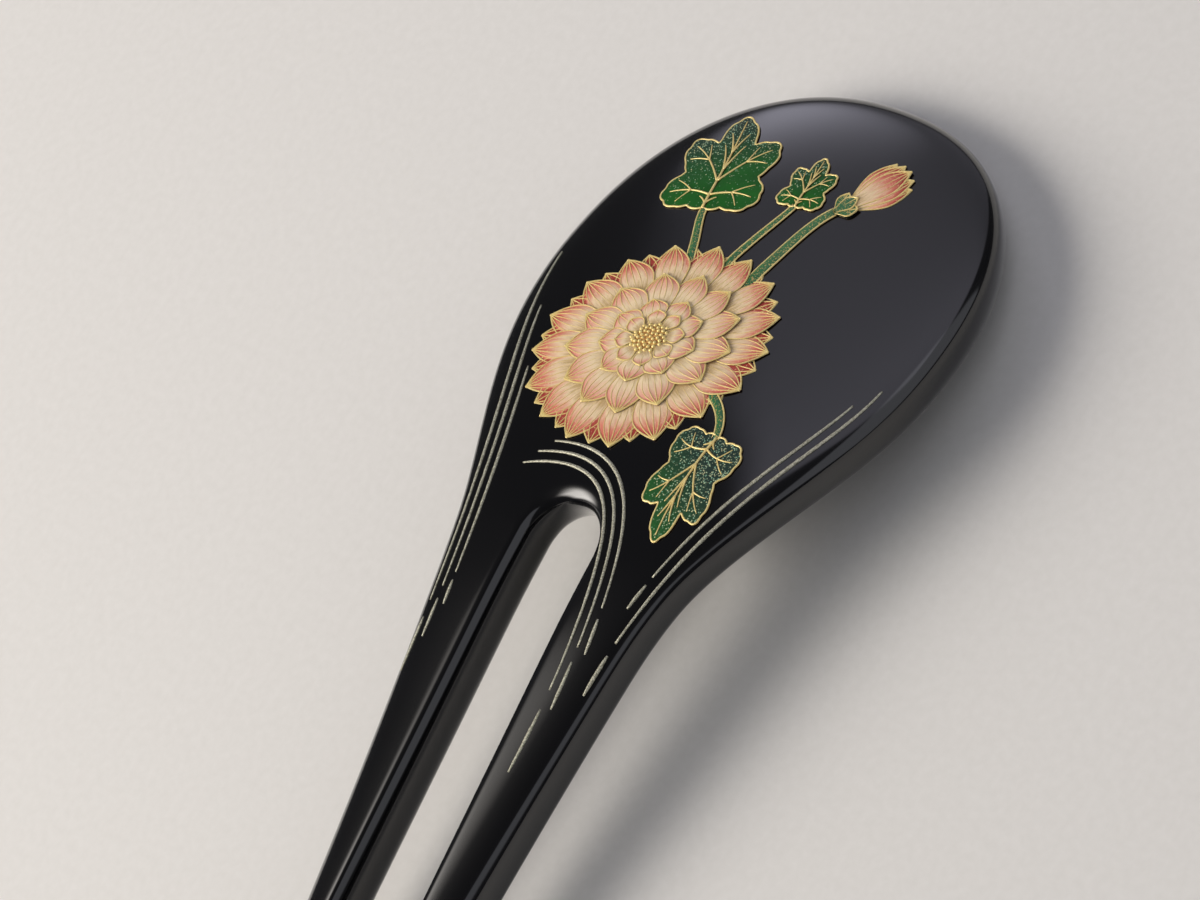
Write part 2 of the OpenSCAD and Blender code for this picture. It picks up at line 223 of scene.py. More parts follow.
# Polished black urushi: a deep black that mirrors, clouded over some 20 mm and very slightly
# wavy over 8 mm from the rubbing, and brown where it is thin and handled, at the tips of
# the prongs. The two places are in millimetres along the pin
HANDLED_FROM, TIPS_AT = -58.0, -74.0
urushi, tree, shader, mm = new_finish("black_urushi_polished", Roughness=0.2, IOR=1.5,
                                      Specular_IOR_Level=0.2, Coat_Weight=1.0,
                                      Coat_Roughness=0.03, Coat_IOR=1.52)
cloud = add(tree, "TexNoise", Vector=mm, Scale=0.05, Detail=2.0)
black = add(tree, "Mix", data_type="RGBA", Factor_Float=cloud, A_Color=linear("040405"),
            B_Color=linear("0B0B0E"))
along = add(tree, "SeparateXYZ", Vector=mm).outputs["Y"]
handled = add(tree, "MapRange", Value=along, From_Min=HANDLED_FROM, From_Max=TIPS_AT,
              To_Max=0.7)
wave = add(tree, "TexNoise", Vector=mm, Scale=0.13, Detail=1.0)
add(tree, shader,
    Base_Color=add(tree, "Mix", data_type="RGBA", Factor_Float=handled, A_Color=black,
                   B_Color=linear("1C100B")),
    Normal=add(tree, "Bump", Height=wave, Distance=0.04 * MM, Strength=0.3))

pick(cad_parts["body"])
bpy.ops.object.duplicate()
body = bpy.context.object
body.name = "lacquered_body"
bpy.ops.object.mode_set(mode="EDIT")
bpy.ops.mesh.select_all(action="SELECT")
bpy.ops.mesh.remove_doubles(threshold=1e-6)
bpy.ops.mesh.tris_convert_to_quads(face_threshold=math.pi, shape_threshold=math.pi,
                                   topology_influence=2)
bpy.ops.object.mode_set(mode="OBJECT")
rounded = body.modifiers.new("rounded", "SUBSURF")
rounded.levels = rounded.render_levels = 2
bpy.ops.object.modifier_apply(modifier="rounded")
bpy.ops.object.shade_smooth()
in_place(body, urushi, "black_lacquer", "body")


# Lines of water
# Three families of flowing lines, drawn with a fine brush in tacky lacquer and dusted
# with pale gold, so that they stand up a little and look powdery. Each line breaks off
# and ends in a dash.

# The whole design is drawn flat, one unit to a millimetre: x across the pin, y along it
# from the centre of the slot's round end, and z up from the face. Then it is laid on the
# face, which bends. The sizes of the face are those of the carving
HEAD_W = 52.7
HEAD_LEN = 59.6
HEAD_WIDE_AT = 32.3
HEAD_ROUND = 2.23
FACE_FULL = 3.2
NECK_W = 30.1
TIPS_W = 15.6
FLARE_FROM = -4.1
PRONG_LEN = 90
TAPER_POWER = 1.8
SLOT_HALF = 4.6
SLOT_SPREAD = 0.35
SLOT_EDGE = 1.4
SLOT_FULL = 2.4
TIP_RISE, PRONG_RISE, NECK_RISE, HEAD_RISE = 1.9, 3.1, 2.0, 2.6
NECK_CHANGE, HEAD_CHANGE = (-60, 0), (5, 45)
BEND = math.radians(21)
BEND_FROM, BEND_TO = -8.3, 22.4
# The turn and the move, in y and z, that lay the bent pin down on its tips and its head
REST_TURN = math.radians(8.22401)
REST_MOVE = (15.2529, 13.9845)


def progress(s, start, end):
    """How far s is from a start to an end, from 0 to 1."""
    return np.clip((s - start) / (end - start), 0, 1)


def ease(t):
    """A smooth rise from 0 to 1 with t."""
    t = np.clip(t, 0, 1)
    return t * t * (3 - 2 * t)


def face_height(x, s):
    """Height of the face above the pin's edge line."""
    taper = (TIPS_W + (NECK_W - TIPS_W) * np.maximum(0, 1 + s / PRONG_LEN) ** TAPER_POWER) / 2
    side = taper + (HEAD_W / 2 - taper) * ease(progress(s, FLARE_FROM, HEAD_WIDE_AT))
    end = progress(s, HEAD_WIDE_AT, HEAD_LEN)
    outline = np.minimum(1, (abs(x) / side) ** HEAD_ROUND + end ** HEAD_ROUND)
    slot = SLOT_HALF + SLOT_SPREAD * np.maximum(0, -s) / PRONG_LEN
    from_slot = np.where(s > 0, np.hypot(x, s), abs(x)) - slot
    edge = np.clip(1 - np.maximum(0, from_slot) / SLOT_EDGE, 0, 1)
    rise = TIP_RISE + (PRONG_RISE - TIP_RISE) * ease(progress(s, -PRONG_LEN, -PRONG_LEN / 2))
    rise = rise + (NECK_RISE - rise) * ease(progress(s, *NECK_CHANGE))
    rise = rise + (HEAD_RISE - NECK_RISE) * ease(progress(s, *HEAD_CHANGE))
    return (rise * (1 - outline ** (FACE_FULL / HEAD_ROUND)) ** (1 / FACE_FULL)
            * (1 - edge ** SLOT_FULL) ** (1 / SLOT_FULL))


def lay_on_face(piece):
    """Carries a piece of the flat drawing to its place on the bent face, in metres. No
    operator can follow that surface and keep the heights, so its points are moved here."""
    flat = np.empty(len(piece.data.vertices) * 3)
    piece.data.vertices.foreach_get("co", flat)
    x, s, h = flat.reshape(-1, 3).T
    h = h + face_height(x, s)
    slope = BEND * progress(s, BEND_FROM, BEND_TO)
    radius = (BEND_TO - BEND_FROM) / BEND
    run = np.maximum(0, s - BEND_TO)
    y = np.minimum(s, BEND_FROM) + (radius + h) * np.sin(slope) + run * np.cos(slope)
    z = (radius + h) * np.cos(slope) - radius - run * np.sin(slope)
    turned = np.stack([x, y * math.cos(REST_TURN) - z * math.sin(REST_TURN) + REST_MOVE[0],
                       y * math.sin(REST_TURN) + z * math.cos(REST_TURN) + REST_MOVE[1]])
    piece.data.vertices.foreach_set("co", (turned.T * MM).ravel())
    piece.data.update()


def made_solid(line):
    """Turns a thick curve into a mesh, with its end caps joined on and its faces outwards."""
    pick(line)
    bpy.ops.object.convert(target="MESH")
    bpy.ops.object.mode_set(mode="EDIT")
    bpy.ops.mesh.select_all(action="SELECT")
    bpy.ops.mesh.remove_doubles(threshold=1e-5)
    bpy.ops.mesh.normals_make_consistent(inside=False)
    bpy.ops.object.mode_set(mode="OBJECT")
    return bpy.context.object


def draw_lines(name, lines, width, closed=False, flat=1.0):
    """Raised lines with a round section. Each is a list of points: x, y, z and the share
    of the full width there. All heights are then flattened to a share."""
    bpy.ops.object.select_all(action="DESELECT")
    bpy.ops.curve.primitive_nurbs_path_add()
    drawing = bpy.context.object.data
    drawing.splines.clear()
    for line in lines:
        spline = drawing.splines.new("POLY")
        spline.points.add(len(line) - 1)
        spline.use_cyclic_u = closed
        for point, (x, y, z, share) in zip(spline.points, line):
            point.co = (x, y, z, 1)
            point.radius = share
    drawing.bevel_depth = width / 2
    drawing.bevel_resolution = 2
    drawing.use_fill_caps = True
    piece = made_solid(bpy.context.object)
    piece.name = name
    piece.scale.z = flat
    bpy.ops.object.transform_apply(location=True, rotation=True, scale=True)
    return piece


def bezier(guides, t):
    """The point at t on a curve with two end points and two guide points between them."""
    a, b, c, d = (np.array(point) for point in guides)
    return (1 - t) ** 3 * a + 3 * (1 - t) ** 2 * t * b + 3 * (1 - t) * t * t * c + t ** 3 * d


def beside(guides, t, aside):
    """The point at a distance to the right of that curve."""
    ahead = bezier(guides, t + 0.001) - bezier(guides, t - 0.001)
    return bezier(guides, t) + np.array([ahead[1], -ahead[0]]) / np.hypot(*ahead) * aside


# Each family: guide points of its first line, number of lines, their spacing, and how much of
# its length each next line leaves out at its start and its end
WATER = [(((-24.4, 29), (-22.6, 17), (-12.5, 10), (-11.8, -18)), 3, -1.15, 0.21, 0.05),
         (((-9.5, 6.2), (-2, 9.6), (10, 11.5), (8.2, -22)), 3, -1.15, 0.06, 0.08),
         (((23.8, 28), (23, 18), (14.2, 9), (12.2, -12)), 2, 1.2, 0.1, 0.16)]
WATER_W = 0.4
WATER_FLAT = 0.7
# The two strokes of a line, the long one and its dash: start, end and steps
STROKES = ((0, 0.9, 70), (0.925, 1, 12))
# The share of the full width at a stroke's ends, and how unsteady the brush is
STROKE_ENDS, WOBBLE = 0.3, 0.08
rng = random.Random(7)
water = []
for guides, count, spacing, cut_start, cut_end in WATER:
    for k in range(count):
        first, last = k * cut_start, 1 - k * cut_end
        for start, stop, steps in STROKES:
            line = []
            for i in range(steps + 1):
                t = first + (last - first) * (start + (stop - start) * i / steps)
                swell = math.sin(math.pi * (0.03 + 0.94 * i / steps)) ** 0.5
                share = STROKE_ENDS + (1 - STROKE_ENDS) * swell
                line.append((*beside(guides, t, k * spacing), 0.0,
                             share * rng.uniform(1 - WOBBLE, 1 + WOBBLE)))
            water.append(line)

# Pale gold powder over lacquer: a soft metal with a grain of 0.15 mm and no clear mirror
# image
pale_gold, tree, shader, mm = new_finish("pale_gold_powder", Metallic=0.45, Roughness=0.5)
grain = add(tree, "TexNoise", Vector=mm, Scale=7.0, Detail=2.0)
patch = add(tree, "MapRange", Value=grain, From_Min=0.35, From_Max=0.65)
add(tree, shader,
    Base_Color=add(tree, "Mix", data_type="RGBA", Factor_Float=patch, A_Color=linear("7E7B68"),
                   B_Color=linear("D0CEBA")),
    Normal=add(tree, "Bump", Height=grain, Distance=0.05 * MM, Strength=0.8))

stream = draw_lines("water_lines", water, WATER_W, flat=WATER_FLAT)
lay_on_face(stream)
in_place(stream, pale_gold, "pale_gold", "stream_lines")


# Stems
# A stem up to the bud and a stalk for each leaf, built up in green lacquer as low ridges,
# speckled with gold, with a thin line of gold along both sides.

# Each stem: guide points, width at its foot and width at its head
STEM = (((0.2, 30.6), (1.9, 37), (2, 41.6), (3.9, 44.2)), 1.5, 1.15)
STALKS = [(((-7.3, 31.4), (-8.6, 35.6), (-10.6, 37.2), (-11.1, 39.2)), 1.1, 0.85),
          (((-3.7, 31.8), (-3, 37), (-1.6, 40.4), (-1.05, 43.2)), 1.05, 0.75),
          (((5.2, 20.8), (8.6, 19.9), (10.4, 18.2), (10.8, 16.2)), 1.1, 0.85)]
STEM_STEPS = 24
STEM_FLAT = 0.5
# How deep the foot of a stem dives under the petals, and over which share of its length
FOOT_SINK, FOOT_SHARE = 0.36, 0.26
# The line of gold along a side: its place as a share of the stem's width, its height, its
# width on a stem 1 mm wide, and how far that follows the stem's own
SIDE_AT, SIDE_H, SIDE_W, SIDE_FOLLOWS = 0.46, 0.1, 0.2, 0.2
ridges, edges = [], []
for guides, foot_w, head_w in [STEM, *STALKS]:
    steps = [i / STEM_STEPS for i in range(STEM_STEPS + 1)]
    widths = [foot_w + (head_w - foot_w) * t for t in steps]
    sink = [FOOT_SINK * (1 - float(ease(t / FOOT_SHARE))) for t in steps]
    ridges.append([(*bezier(guides, t), -z / STEM_FLAT, w)
                   for t, w, z in zip(steps, widths, sink)])
    for sign in (-1, 1):
        edges.append([(*beside(guides, t, sign * SIDE_AT * w), SIDE_H - z,
                       1 + SIDE_FOLLOWS * (w - 1)) for t, w, z in zip(steps, widths, sink)])

# Green urushi: a full green, satin, a little uneven, with gold dust drawn at 0.17 mm that
# shows as bright specks
green_stem, tree, shader, mm = new_finish("green_urushi_gold_dust", Roughness=0.42,
                                          Coat_Weight=0.2, Coat_Roughness=0.25)
dust = add(tree, "MapRange", Value=add(tree, "TexNoise", Vector=mm, Scale=6.0, Detail=1.0),
           From_Min=0.56, From_Max=0.66)
tone = add(tree, "TexNoise", Vector=mm, Scale=0.5)
leafy = add(tree, "Mix", data_type="RGBA", Factor_Float=tone, A_Color=linear("174F2C"),
            B_Color=linear("2F7A45"))
add(tree, shader, Metallic=dust,
    Base_Color=add(tree, "Mix", data_type="RGBA", Factor_Float=dust, A_Color=leafy,
                   B_Color=linear("D9C07A")))

# Gold powder on red-brown ground lacquer: a pale warm metal with a grain of 0.2 mm, bright
# on top, and turned to the ground's dark red-brown where a line faces away from up: painted
# shade along its flanks, which outlines it
gold, tree, shader, mm = new_finish("gold_powder_on_red_ground", Metallic=0.28)
grain = add(tree, "TexNoise", Vector=mm, Scale=5.0, Detail=3.0)
facing = add(tree, "SeparateXYZ", Vector=add(tree, "NewGeometry").outputs["Normal"])
# Painted shade: the colour goes to dark red-brown as the surface turns from up to the side
flank_shade_mask = add(tree, "MapRange", Value=facing.outputs["Z"], From_Min=-0.1, From_Max=0.3)
powder = add(tree, "Mix", data_type="RGBA", Factor_Float=grain, A_Color=linear("E0BA5E"),
             B_Color=linear("FFF2B0"))
add(tree, shader,
    Base_Color=add(tree, "Mix", data_type="RGBA", Factor_Float=flank_shade_mask, A_Color=linear("6B3A20"),
                   B_Color=powder),
    Roughness=add(tree, "MapRange", Value=grain, From_Min=0.3, From_Max=0.7, To_Min=0.5,
                  To_Max=0.32),
    Normal=add(tree, "Bump", Height=grain, Distance=0.04 * MM, Strength=0.6))

stems = draw_lines("stem_ridges", ridges, 1.0, flat=STEM_FLAT)
lay_on_face(stems)
in_place(stems, green_stem, "green_lacquer", "stems")
stem_gold = draw_lines("stem_edges", edges, SIDE_W)
lay_on_face(stem_gold)
in_place(stem_gold, gold, "gold")


# Leaves
# Three lobed chrysanthemum leaves, each a thin cushion of green lacquer, shaded to a dusty
# teal. The midrib, the forked side veins and the edge are lines of gold laid on top, and
# the cushion dips a little along the veins.

# Reach of a leaf's edge at angles from its tip: lobes, and the bays between them, and how
# full the lobes are
LEAF_EDGE = ((0, 1), (27, 0.64), (50, 0.9), (80, 0.58), (108, 0.8), (146, 0.46), (180, 0.4))
LOBE_FULL = 0.6
# The midrib's start and end, and the side veins: where each leaves the midrib, the angle of
# its end, how near it comes to the edge, and the angles of its forks, which all come as near
MIDRIB = (-0.4, 0.92)
FORK_NEAR = 0.84
SIDE_VEINS = ((-0.02, 50, 0.86, (36, 64)), (-0.22, 108, 0.84, (93, 126)),
              (0.16, 17, 0.68, ()), (0.42, 11, 0.8, ()), (-0.34, 152, 0.62, ()))
# Small teeth round the edge: their number, their depth as a share, and the angles between
# which they die out towards the stalk
TEETH, TOOTH_DEPTH, TEETH_FADE, TEETH_END = 23, 0.035, 125, 155
# Height of a leaf's edge over the lacquer, its rise to the middle, and its thickness, most
# of which is bedded in the lacquer
LEAF_EDGE_H, LEAF_DOME_H, LEAF_THICK = 0.15, 0.17, 0.42
# Each leaf: its middle, the direction of its tip, reach, width as a share, bow of the
# midrib, the share of teal at its foot and its tip, its slot, and the node it stands for
Leaf = namedtuple("Leaf", "middle turn reach wide bow teal_foot teal_tip slot node")
LEAVES = {"upper_leaf": Leaf((-12.2, 42.8), 105, 9.2, 0.88, 0.9, -0.3, 1.1,
                             "green_lacquer", "leaf_upper"),
          "small_leaf": Leaf((-1.2, 45.0), 97, 4.7, 0.82, 0.4, -0.2, 0.8,
                             "green_lacquer", "leaf_small"),
          "lower_leaf": Leaf((10.8, 13.0), -91, 8.6, 0.66, 0.7, 1.2, 0.2,
                             "teal_lacquer", "leaf_lower")}


def leaf_reach(angle):
    """Reach of a leaf's edge at an angle in degrees, as a share of the reach of its tip."""
    angles, reaches = np.array(LEAF_EDGE).T
    angle = abs(np.asarray(angle, float))
    i = np.clip(np.searchsorted(angles, angle, side="right") - 1, 0, len(angles) - 2)
    t = (angle - angles[i]) / (angles[i + 1] - angles[i])
    first, second = reaches[i], reaches[i + 1]
    near_lobe = np.where(first > second, 1 - t, t)
    return np.minimum(first, second) + abs(first - second) * ease(near_lobe) ** LOBE_FULL


def leaf_teeth(angle):
    """Depth of the small teeth of a leaf's edge at angles in degrees, as a share."""
    tooth = (0.5 - 0.5 * np.cos(np.radians(angle * TEETH))) ** 2
    return TOOTH_DEPTH * tooth * ease(progress(abs(angle), TEETH_END, TEETH_FADE))


def leaf_height(x, y):
    """Height of a leaf over the lacquer, for x towards its tip and y aside, as shares."""
    angle = np.degrees(np.arctan2(y, x))
    out = np.minimum(1, np.hypot(x, y) / leaf_reach(angle))
    return LEAF_EDGE_H + LEAF_DOME_H * (1 - out ** 2.6)


def arc(start, end, bow=0.14, steps=14):
    """Points from start to end on an arc that bows towards the leaf's tip."""
    start, end = np.array(start, float), np.array(end, float)
    guide = (start + end) / 2 + np.array([bow * np.hypot(*(end - start)), 0])
    t = np.linspace(0, 1, steps + 1)[:, None]
    return (1 - t) ** 2 * start + 2 * (1 - t) * t * guide + t ** 2 * end


def at_angle(angle, share):
    """A point of a leaf at an angle from its tip and at a share of the way to its edge."""
    reach = share * leaf_reach(angle)
    return np.array([reach * math.cos(math.radians(angle)), reach * math.sin(math.radians(angle))])


# Veins of one leaf with a reach of 1: points, and the share of width at both ends
VEINS = [(arc((MIDRIB[0], 0), (MIDRIB[1], 0), 0, 30), 1.0, 0.4)]
for side in (-1, 1):
    for start, angle, near, forks in SIDE_VEINS:
        vein = arc((start, 0), at_angle(side * angle, near))
        VEINS.append((vein, 0.75, 0.35))
        for fork in forks:
            VEINS.append((arc(vein[len(vein) // 2], at_angle(side * fork, FORK_NEAR), 0.08, 8),
                          0.55, 0.3))


def drawn_leaf(leaf, x, y):
    """Place in the flat drawing of points of a leaf with a reach of 1."""
    along, aside = leaf.reach * x, leaf.reach * leaf.wide * y + leaf.bow * x ** 2
    cos, sin = math.cos(math.radians(leaf.turn)), math.sin(math.radians(leaf.turn))
    return (leaf.middle[0] + along * cos - aside * sin,
            leaf.middle[1] + along * sin + aside * cos)


# Green urushi shaded into teal: satin, sprinkled with metal dust that is dense in the teal
# and thin in the green. Its grains are drawn 0.2 mm apart, coarser than they are, so that
# they show as a glitter
leaf_green, tree, shader, mm = new_finish("green_urushi_teal_dust", Roughness=0.5,
                                          Specular_IOR_Level=0.25)
teal = add(tree, "Attribute", attribute_name="teal").outputs["Fac"]
tone = add(tree, "TexNoise", Vector=mm, Scale=0.35, Detail=3.0)
green = add(tree, "Mix", data_type="RGBA", Factor_Float=tone, A_Color=linear("093F0E"),
            B_Color=linear("1A6C1B"))
shaded = add(tree, "Mix", data_type="RGBA", Factor_Float=teal, A_Color=green,
             B_Color=linear("1E342C"))
dust = add(tree, "TexVoronoi", Vector=mm, Scale=5.4)
round_grain = add(tree, "MapRange", Value=dust.outputs["Distance"], From_Min=0.5, From_Max=0.2)
draw = add(tree, "SeparateColor", Color=dust.outputs["Color"])
dense = add(tree, "Math", operation="MULTIPLY_ADD", Value=teal, Value_001=0.55,
            Value_002=draw.outputs["Red"])
bright = add(tree, "MapRange", Value=dense, From_Min=0.86, From_Max=1.1)
bright = add(tree, "Math", operation="MULTIPLY", Value=bright, Value_001=round_grain)
metal = add(tree, "Mix", data_type="RGBA", Factor_Float=draw.outputs["Green"],
            A_Color=linear("9CD8B8"), B_Color=linear("EAE8B4"))
add(tree, shader, Metallic=add(tree, "Math", operation="MULTIPLY", Value=bright, Value_001=0.3),
    Base_Color=add(tree, "Mix", data_type="RGBA", Factor_Float=bright, A_Color=shaded,
                   B_Color=metal),
    Normal=add(tree, "Bump", Height=round_grain, Distance=0.015 * MM, Strength=0.4))

EDGE_POINTS = 180
LEAF_RINGS = (0.97, 0.92, 0.85, 0.77, 0.68, 0.58, 0.47, 0.36, 0.25, 0.14, 0.05)
# Depth and width of the dip along a vein, and how deep its gold is sunk into the leaf
DIP_DEPTH, DIP_W, VEIN_SINK = 0.06, 0.45, 0.03
# Width of the veins' gold, with what it gains for each millimetre of the leaf's reach, and
# width and height of the gold along the edge
VEIN_W, VEIN_W_GROWS = 0.18, 0.018
RIM_W, RIM_H = 0.24, 0.1
# How much more teal the left side of a leaf has than its middle
TEAL_ASIDE = 0.35
for name, leaf in LEAVES.items():
    bpy.ops.object.select_all(action="DESELECT")
    bpy.ops.mesh.primitive_circle_add(vertices=EDGE_POINTS, radius=1)
    piece = bpy.context.object
    piece.name = name
    bpy.ops.object.mode_set(mode="EDIT")
    outer = 1
    for inner in LEAF_RINGS:
        bpy.ops.mesh.extrude_edges_move()
        bpy.ops.transform.resize(value=(inner / outer, inner / outer, 1))
        outer = inner
    bpy.ops.mesh.edge_face_add()
    bpy.ops.object.mode_set(mode="OBJECT")
    # The lobed outline and the dips along the veins follow no operator
    disc = np.array([vert.co for vert in piece.data.vertices])
    angle = np.degrees(np.arctan2(disc[:, 1], disc[:, 0]))
    out = np.hypot(disc[:, 0], disc[:, 1])
    reach = leaf_reach(angle) * (1 - leaf_teeth(angle) * out ** 4)
    x, y = (disc[:, :2] * reach[:, None]).T
    height = leaf_height(x, y)
    for points, first, last in VEINS:
        away = np.min(np.hypot(x[:, None] - points[:, 0], y[:, None] - points[:, 1]), axis=1)
        height = height - DIP_DEPTH * first * np.exp(-(away * leaf.reach / DIP_W) ** 2)
    flat = np.stack([*drawn_leaf(leaf, x, y), height], axis=1)
    piece.data.vertices.foreach_set("co", flat.ravel())
    share = (leaf.teal_foot + (leaf.teal_tip - leaf.teal_foot) * (x - MIDRIB[0]) / (1 - MIDRIB[0])
             + TEAL_ASIDE * y)
    shading = piece.data.attributes.new("teal", "FLOAT", "POINT")
    shading.data.foreach_set("value", np.clip(share, 0, 1))
    thick = piece.modifiers.new("thick", "SOLIDIFY")
    thick.thickness = LEAF_THICK
    bpy.ops.object.modifier_apply(modifier="thick")
    bpy.ops.object.mode_set(mode="EDIT")
    bpy.ops.mesh.select_all(action="SELECT")
    bpy.ops.mesh.normals_make_consistent(inside=False)
    bpy.ops.object.mode_set(mode="OBJECT")
    bpy.ops.object.shade_smooth_by_angle(angle=math.radians(50))
    lay_on_face(piece)
    in_place(piece, leaf_green, leaf.slot, leaf.node)

    lines = []
    for points, first, last in VEINS:
        x, y = points.T
        shares = np.linspace(first, last, len(points))
        lines.append(list(zip(*drawn_leaf(leaf, x, y), leaf_height(x, y) - VEIN_SINK, shares)))
    vein_gold = draw_lines(name + "_veins", lines, VEIN_W + VEIN_W_GROWS * leaf.reach)
    lay_on_face(vein_gold)
    in_place(vein_gold, gold, "gold")
    angle = np.linspace(-180, 180, EDGE_POINTS, endpoint=False)
    reach = leaf_reach(angle) * (1 - leaf_teeth(angle))
    x, y = reach * np.cos(np.radians(angle)), reach * np.sin(np.radians(angle))
    rim = list(zip(*drawn_leaf(leaf, x, y), [RIM_H] * EDGE_POINTS, [1.0] * EDGE_POINTS))
    edge_gold = draw_lines(name + "_edge", [rim], RIM_W, closed=True)
    lay_on_face(edge_gold)
    in_place(edge_gold, gold, "gold")


# Petals
# Rows of petals in cream lacquer, shaded to rose at their tips, each row built up over the
# one below. Every petal is a low cushion with a line of gold round its edge and fine gold
# veins. One petal of each size is made, and its row is copies of it.

# The bloom's middle, its height as a share of its width, because the flower is drawn a
# little from the side, and the turn of that oval
BLOOM_PLACE = (-4.5, 23)
BLOOM_OVAL = 0.86
BLOOM_TURN = math.radians(24)
PETAL_ROWS, PETAL_COLUMNS = 22, 12
PETAL_THICK = 0.2
# Half width at the foot as a share, and where along the petal it is widest
PETAL_FOOT, PETAL_WIDEST = 0.42, 0.6
# Depth of the fold down the middle as a share of the crown, and its width
FOLD_DEPTH, FOLD_W = 0.35, 0.25
# Where the veins start and end along the square grid, and their places across it
VEINS_FROM, VEINS_TO = -0.5, 0.92
THREE_VEINS = (-0.5, 0, 0.5)
FIVE_VEINS = (-2 / 3, -1 / 3, 0, 1 / 3, 2 / 3)
# Lines of gold along the edge and the veins: width, and the shares of it at the foot and at
# the tip
EDGE_W, EDGE_FOOT = 0.2, 0.4
PETAL_VEIN_W, PETAL_VEIN_FOOT = 0.14, 0.15
GOLD_AT_TIP = 1.2
# How near a point has to be to a line of the square grid to belong to it
NEAR = 0.01
Petal = namedtuple("Petal", "length width crown rise veins")


def choose(test):
    """Selects the points in edit mode whose place passes a test, and nothing else."""
    mesh = bmesh.from_edit_mesh(bpy.context.object.data)
    for vert in mesh.verts:
        vert.select = test(vert.co)
    mesh.select_flush_mode()
    bmesh.update_edit_mesh(bpy.context.object.data)


def petal_half(v):
    """Half width of a petal from its foot at 0 to its tip at 1, as a share."""
    if v < PETAL_WIDEST:
        return PETAL_FOOT + (1 - PETAL_FOOT) * float(ease(v / PETAL_WIDEST))
    return max(0.03, 1 - ((v - PETAL_WIDEST) / (1 - PETAL_WIDEST)) ** 1.9)


def gold_lines(petal, group, width, foot_share):
    """Lines of gold along the points of a petal that a group names, thinner at the foot."""
    pick(petal)
    bpy.ops.object.mode_set(mode="EDIT")
    bpy.ops.mesh.select_all(action="DESELECT")
    bpy.ops.object.vertex_group_set_active(group=group)
    bpy.ops.object.vertex_group_select()
    bpy.ops.mesh.duplicate()
    bpy.ops.mesh.separate(type="SELECTED")
    bpy.ops.object.mode_set(mode="OBJECT")
    line = next(piece for piece in bpy.context.selected_objects if piece != petal)
    pick(line)
    bpy.ops.object.convert(target="CURVE")
    line = bpy.context.object
    points = [point for spline in line.data.splines for point in spline.points]
    low, high = min(point.co.y for point in points), max(point.co.y for point in points)
    for point in points:
        share = (point.co.y - low) / (high - low)
        point.radius = foot_share + (GOLD_AT_TIP - foot_share) * share
    line.data.bevel_depth = width / 2
    line.data.bevel_resolution = 1
    line.data.use_fill_caps = True
    return made_solid(line)


def make_petal(sizes):
    """A petal that lies along +Y from its foot at the origin, and its gold lines."""
    bpy.ops.object.select_all(action="DESELECT")
    bpy.ops.mesh.primitive_grid_add(x_subdivisions=PETAL_COLUMNS, y_subdivisions=PETAL_ROWS, size=2)
    petal = bpy.context.object
    bpy.ops.object.mode_set(mode="EDIT")
    bpy.ops.mesh.select_mode(type="VERT")
    # Edge and veins are grouped while the grid is still square
    choose(lambda at: abs(at.x) > 1 - NEAR or at.y > 1 - NEAR)
    bpy.ops.object.vertex_group_assign_new()
    petal.vertex_groups.active.name = "edge"
    choose(lambda at: VEINS_FROM < at.y < VEINS_TO
           and any(abs(at.x - vein) < NEAR for vein in sizes.veins))
    bpy.ops.object.vertex_group_assign_new()
    petal.vertex_groups.active.name = "veins"
    # Crowned across, with a shallow fold down the middle
    for column in range(PETAL_COLUMNS + 1):
        x = 2 * column / PETAL_COLUMNS - 1
        choose(lambda at: abs(at.x - x) < NEAR)
        fold = FOLD_DEPTH * math.exp(-(x / FOLD_W) ** 2)
        bpy.ops.transform.translate(value=(0, 0, sizes.crown * (1 - abs(x) ** 2.2 - fold)))
    # Each row from the tip down gets its width, its place and its height
    for row in range(PETAL_ROWS, -1, -1):
        y = 2 * row / PETAL_ROWS - 1
        reach = 1 - (1 - row / PETAL_ROWS) ** 1.5
        half = petal_half(reach)
        choose(lambda at: abs(at.y - y) < NEAR)
        bpy.ops.transform.resize(value=(half * sizes.width / 2, 1, half ** 0.5),
                                 center_override=(0, y, 0))
        bpy.ops.transform.translate(value=(0, reach * sizes.length - y, sizes.rise * reach ** 2))
    bpy.ops.object.mode_set(mode="OBJECT")
    edge = gold_lines(petal, "edge", EDGE_W, EDGE_FOOT)
    gold_veins = gold_lines(petal, "veins", PETAL_VEIN_W, PETAL_VEIN_FOOT)
    pick(edge)
    gold_veins.select_set(True)
    bpy.ops.object.join()
    pick(petal)
    petal.vertex_groups.clear()
    thick = petal.modifiers.new("thick", "SOLIDIFY")
    thick.thickness = PETAL_THICK
    bpy.ops.object.modifier_apply(modifier="thick")
    bpy.ops.object.shade_smooth_by_angle(angle=math.radians(50))
    return petal, edge


def set_copies(name, prototype, places):
    """Copies of a prototype, joined. A place is a copy's location, turn, roll and scale."""
    made = []
    for location, turn, roll, scale in places:
        pick(prototype)
        bpy.ops.object.duplicate()
        piece = bpy.context.object
        piece.location = location
        piece.rotation_euler = (0, roll, turn)
        piece.scale = scale
        made.append(piece)
    for piece in made:
        piece.select_set(True)
    bpy.ops.object.transform_apply(location=True, rotation=True, scale=True)
    bpy.ops.object.join()
    made = bpy.context.object
    made.name = name
    return made


def set_in_bloom(piece):
    """Makes a round piece at the origin oval, turns it, and moves it to the bloom."""
    pick(piece)
    piece.scale = (1, BLOOM_OVAL, 1)
    piece.rotation_euler = (0, 0, BLOOM_TURN)
    piece.location = (*BLOOM_PLACE, 0)
    bpy.ops.object.transform_apply(location=True, rotation=True, scale=True)


